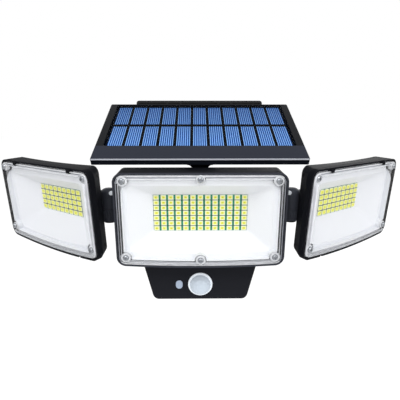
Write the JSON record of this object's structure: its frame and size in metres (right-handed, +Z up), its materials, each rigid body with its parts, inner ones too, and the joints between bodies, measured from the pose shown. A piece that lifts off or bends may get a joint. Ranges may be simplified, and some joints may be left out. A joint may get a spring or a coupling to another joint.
{
  "type": "motion sensor security light",
  "caption": "Wall-mounted solar security light: tilted panel above a wide lamp head, angled side heads on swivels, and a motion sensor box below.",
  "frame": {"origin": "centre of the wall plate's screw line, on the wall face", "axes": "+Z up, +Y into the wall, so the lamps face -Y, +X to the right as seen by someone facing the light"},
  "size_m": [0.3664, 0.1384, 0.1853],
  "materials": {
    "steel_black": "satin black coating",
    "screw_steel": "bright",
    "screw_dark": "black oxide",
    "black_plastic": "satin moulded",
    "inner_plastic": "matte",
    "panel_plastic": "satin moulded",
    "seal_rubber": "matte",
    "button_rubber": "matte",
    "wire_black": "matte",
    "battery_wrap": "shrink sleeve",
    "board_green": "solder mask",
    "led_board": "solder mask",
    "led_phosphor": "yellow phosphor gel",
    "white_plastic": "bright white",
    "clear_plastic": "clear polycarbonate",
    "sensor_can": "plain",
    "sensor_clear": "clear resin",
    "milky_plastic": "milky translucent",
    "frosted_window": "frosted",
    "solar_backing": "laminate",
    "solar_silicon": "blue silicon with fine conductors",
    "panel_glass": "clear cover sheet"
  },
  "bodies": {
    "base": {"battery_cells": "battery_wrap", "battery_holder": "inner_plastic", "body_front": "black_plastic", "body_screws": "screw_steel", "body_seal": "seal_rubber", "bracket_screws": "screw_steel", "button_boot": "seal_rubber", "control_board": "board_green", "left_arm": "black_plastic", "left_arm_screws": "screw_dark", "left_swivel_pin": "screw_dark", "light_sensor": "sensor_clear", "neck_screws": "screw_dark", "panel_cover": "panel_plastic", "panel_frame": "panel_plastic", "panel_lead": "wire_black", "panel_neck": "black_plastic", "panel_screws": "screw_dark", "pir_lens": "milky_plastic", "pir_sensor": "sensor_can", "pivot_screws": "screw_dark", "rear_cover": "black_plastic", "right_arm": "black_plastic", "right_arm_screws": "screw_dark", "right_swivel_pin": "screw_dark", "sensor_window": "frosted_window", "solar_cells": "solar_silicon", "solar_glass": "panel_glass", "solar_sheet": "solar_backing", "tact_switch": "board_green", "wall_plate": "steel_black"},
    "centre_head": {"centre_housing": "black_plastic", "centre_seal": "seal_rubber", "centre_reflector": "white_plastic", "centre_led_board": "led_board", "centre_leds": "led_phosphor", "centre_cover": "clear_plastic", "centre_cover_screws": "screw_steel"},
    "right_swivel": {"right_knuckle": "black_plastic", "right_tilt_screw": "screw_dark"},
    "right_head": {"right_housing": "black_plastic", "right_seal": "seal_rubber", "right_reflector": "white_plastic", "right_led_board": "led_board", "right_leds": "led_phosphor", "right_cover": "clear_plastic", "right_cover_screws": "screw_steel"},
    "left_swivel": {"left_knuckle": "black_plastic", "left_tilt_screw": "screw_dark"},
    "left_head": {"left_housing": "black_plastic", "left_seal": "seal_rubber", "left_reflector": "white_plastic", "left_led_board": "led_board", "left_leds": "led_phosphor", "left_cover": "clear_plastic", "left_cover_screws": "screw_steel"},
    "button": {"mode_button": "button_rubber"}
  },
  "joints": [
    {"name": "centre_tilt", "type": "hinge", "parent": "base", "child": "centre_head", "pos_m": [0, -0.07501, -0.073], "axis": [1, 0, 0], "range_deg": [-4, 12]},
    {"name": "right_swivel_turn", "type": "hinge", "parent": "base", "child": "right_swivel", "pos_m": [0.078, -0.098, -0.0604], "axis": [0, 0, 1], "range_deg": [-10, 20]},
    {"name": "right_tilt", "type": "hinge", "parent": "right_swivel", "child": "right_head", "pos_m": [0.078, -0.098, -0.0604], "axis": [0.8158, 0.5783, 0], "range_deg": [-10, 10]},
    {"name": "left_swivel_turn", "type": "hinge", "parent": "base", "child": "left_swivel", "pos_m": [-0.078, -0.098, -0.0604], "axis": [0, 0, -1], "range_deg": [-10, 20]},
    {"name": "left_tilt", "type": "hinge", "parent": "left_swivel", "child": "left_head", "pos_m": [-0.078, -0.098, -0.0604], "axis": [0.8158, -0.5783, 0], "range_deg": [-10, 10]},
    {"name": "mode_button_push", "type": "slide", "parent": "base", "child": "button", "axis": [0, 0, 1], "range_m": [0, 0.001], "stiffness_N_per_m": 600, "springref_m": -0.001, "deforming": ["button_boot"]}
  ]
}
